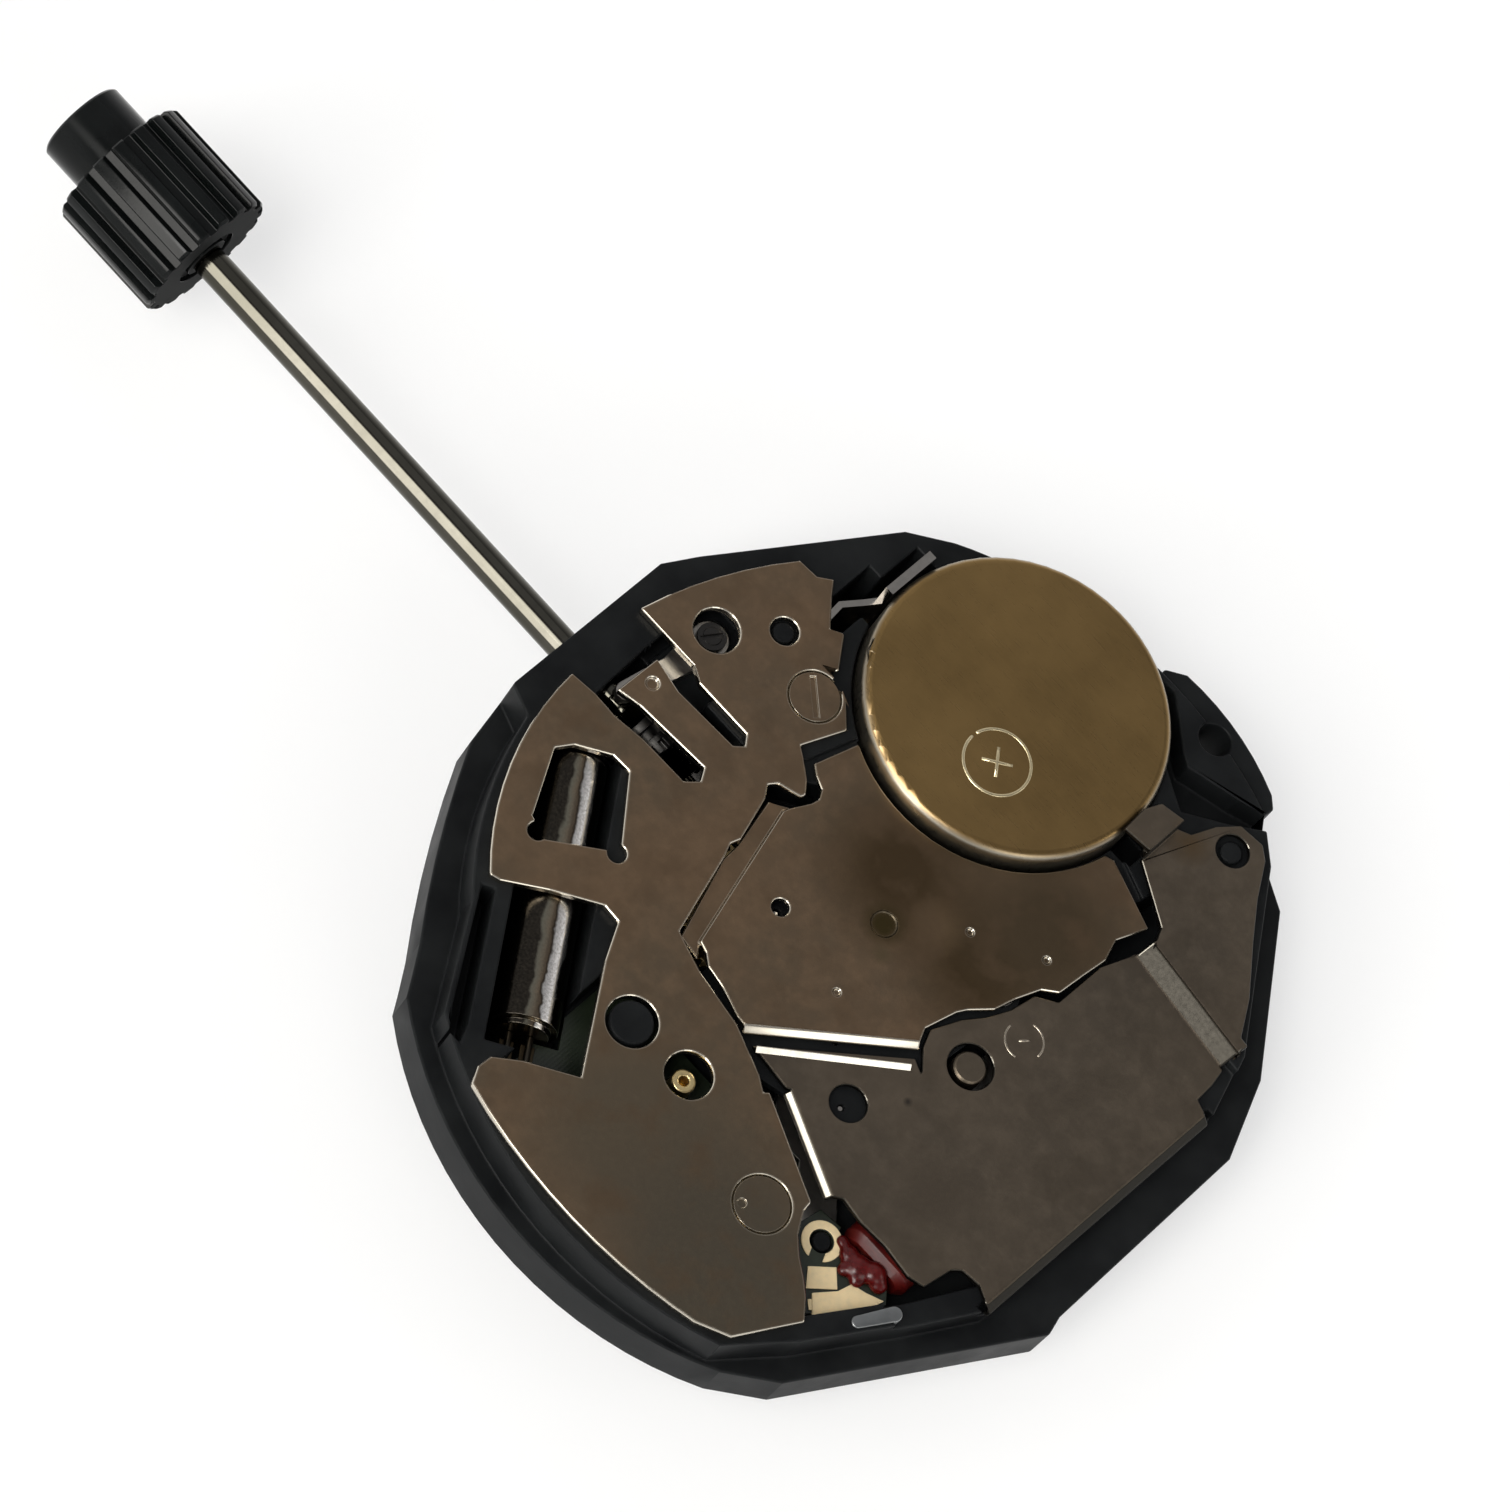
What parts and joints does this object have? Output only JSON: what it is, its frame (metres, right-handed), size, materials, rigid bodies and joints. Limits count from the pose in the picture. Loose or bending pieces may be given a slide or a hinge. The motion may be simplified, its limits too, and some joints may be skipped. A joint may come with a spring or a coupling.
{
  "type": "watch movement",
  "caption": "Small quartz watch movement seen from its back, with battery, stepped steel back plates, crystal, gear train, hand seats and a long stem with a ribbed crown",
  "frame": {"origin": "where the axis of the hands crosses the dial seat of the main plate", "axes": "+X runs out of the movement along the stem to the crown, +Z points to the back of the movement (battery side), so the hand seats stand out along -Z; +Y completes the right-handed frame"},
  "size_m": [0.0319, 0.0197, 0.0047],
  "materials": {
    "black_plastic": "moulded, satin",
    "crown_plastic": "moulded, slightly glossy",
    "plate_steel": "satin",
    "polished_steel": "polished",
    "back_plate_brown": "satin, warm tint",
    "back_plate_grey": "satin",
    "battery_steel": "brushed, warm tint",
    "brass": "satin",
    "gold": "plated",
    "can_metal": "drawn metal",
    "magnet": "ground",
    "copper_wire": "red varnished fine wire",
    "board": "laminate",
    "film": "thin film",
    "gasket": "moulded"
  },
  "bodies": {
    "movement": {"main_plate": "black_plastic", "dial_side_cover": "plate_steel", "centre_tube": "brass", "centre_bridge": "brass", "centre_bridge_screws": "polished_steel", "train_wheel_bridge": "black_plastic", "bridge_screws": "polished_steel", "stator": "plate_steel", "coil_core": "plate_steel", "coil_winding": "copper_wire", "circuit_board": "board", "chip_blob": "black_plastic", "gold_pads": "gold", "crystal_can": "can_metal", "crystal_leads": "can_metal", "terminal_board": "board", "coil_terminals": "gold", "plate_post": "polished_steel", "brass_bush": "brass", "insulating_film": "film", "negative_contact": "gold", "battery_can": "battery_steel", "battery_gasket": "gasket", "battery_cap": "battery_steel", "positive_contact": "polished_steel", "left_back_plate": "back_plate_brown", "plate_screws": "back_plate_brown", "centre_plate": "back_plate_brown", "right_back_plate": "back_plate_grey", "setting_wheel_pin": "polished_steel", "yoke_pin": "polished_steel", "lever_axle": "polished_steel"},
    "rotor": {"rotor_magnet": "magnet", "rotor_pinion": "polished_steel"},
    "fifth": {"fifth_wheel": "brass", "fifth_pinion": "polished_steel"},
    "seconds": {"seconds_wheel": "brass", "seconds_arbor": "polished_steel"},
    "third": {"third_wheel": "brass", "third_pinion": "polished_steel"},
    "centre": {"centre_wheel": "brass", "cannon_pinion": "polished_steel"},
    "minute": {"minute_wheel": "brass", "minute_pinion": "polished_steel"},
    "hour": {"hour_wheel": "brass"},
    "setting": {"setting_wheel": "polished_steel"},
    "yoke": {"yoke": "plate_steel"},
    "pinion": {"sliding_pinion": "polished_steel"},
    "stem": {"winding_stem": "polished_steel", "setting_crown": "crown_plastic"},
    "lever": {"setting_lever": "plate_steel"}
  },
  "joints": [
    {"name": "seconds_spin", "type": "hinge", "parent": "movement", "child": "seconds", "pos_m": [0, 0, 0.0014], "axis": [0, 0, 1], "continuous": true},
    {"name": "rotor_spin", "type": "hinge", "parent": "movement", "child": "rotor", "pos_m": [-0.00202, 0.00278, 0.0011], "axis": [0, 0, 1], "continuous": true},
    {"name": "fifth_spin", "type": "hinge", "parent": "movement", "child": "fifth", "pos_m": [-0.00095, 0.00187, 0.0014], "axis": [0, 0, 1], "continuous": true},
    {"name": "third_spin", "type": "hinge", "parent": "movement", "child": "third", "pos_m": [0.0018, 0.00088, 0.0012], "axis": [0, 0, 1], "continuous": true},
    {"name": "centre_spin", "type": "hinge", "parent": "movement", "child": "centre", "pos_m": [0, 0, 0.001], "axis": [0, 0, 1], "continuous": true},
    {"name": "minute_spin", "type": "hinge", "parent": "movement", "child": "minute", "pos_m": [0.00238, 0.00033, 0.0004], "axis": [0, 0, 1], "continuous": true},
    {"name": "hour_spin", "type": "hinge", "parent": "movement", "child": "hour", "pos_m": [0, 0, 0.0002], "axis": [0, 0, 1], "continuous": true},
    {"name": "setting_spin", "type": "hinge", "parent": "movement", "child": "setting", "pos_m": [0.00485, 0, 0.0005], "axis": [0, 0, 1], "continuous": true},
    {"name": "yoke_shift", "type": "slide", "parent": "movement", "child": "yoke", "axis": [-1, 0, 0], "range_m": [0, 0.00025]},
    {"name": "crown_turn", "type": "hinge", "parent": "yoke", "child": "pinion", "pos_m": [0.0062, 0, 0.0012], "axis": [1, 0, 0], "continuous": true},
    {"name": "crown_pull", "type": "slide", "parent": "pinion", "child": "stem", "axis": [1, 0, 0], "range_m": [0, 0.00105]},
    {"name": "lever_swing", "type": "hinge", "parent": "movement", "child": "lever", "pos_m": [0.00693, -0.00229, 0.0017], "axis": [0, 0, -1], "range_deg": [0, 21.5]}
  ],
  "couplings": [
    {"joint": "fifth_spin", "follows": "seconds_spin", "ratio": -5},
    {"joint": "rotor_spin", "follows": "seconds_spin", "ratio": 30},
    {"joint": "third_spin", "follows": "seconds_spin", "ratio": -0.13333},
    {"joint": "centre_spin", "follows": "seconds_spin", "ratio": 0.016667},
    {"joint": "minute_spin", "follows": "seconds_spin", "ratio": -0.0055556},
    {"joint": "hour_spin", "follows": "seconds_spin", "ratio": 0.0013889},
    {"joint": "setting_spin", "follows": "seconds_spin", "ratio": 0.014286},
    {"joint": "yoke_shift", "follows": "crown_pull", "ratio": 0.2381},
    {"joint": "lever_swing", "follows": "crown_pull", "rad_per_m": 357.3}
  ]
}
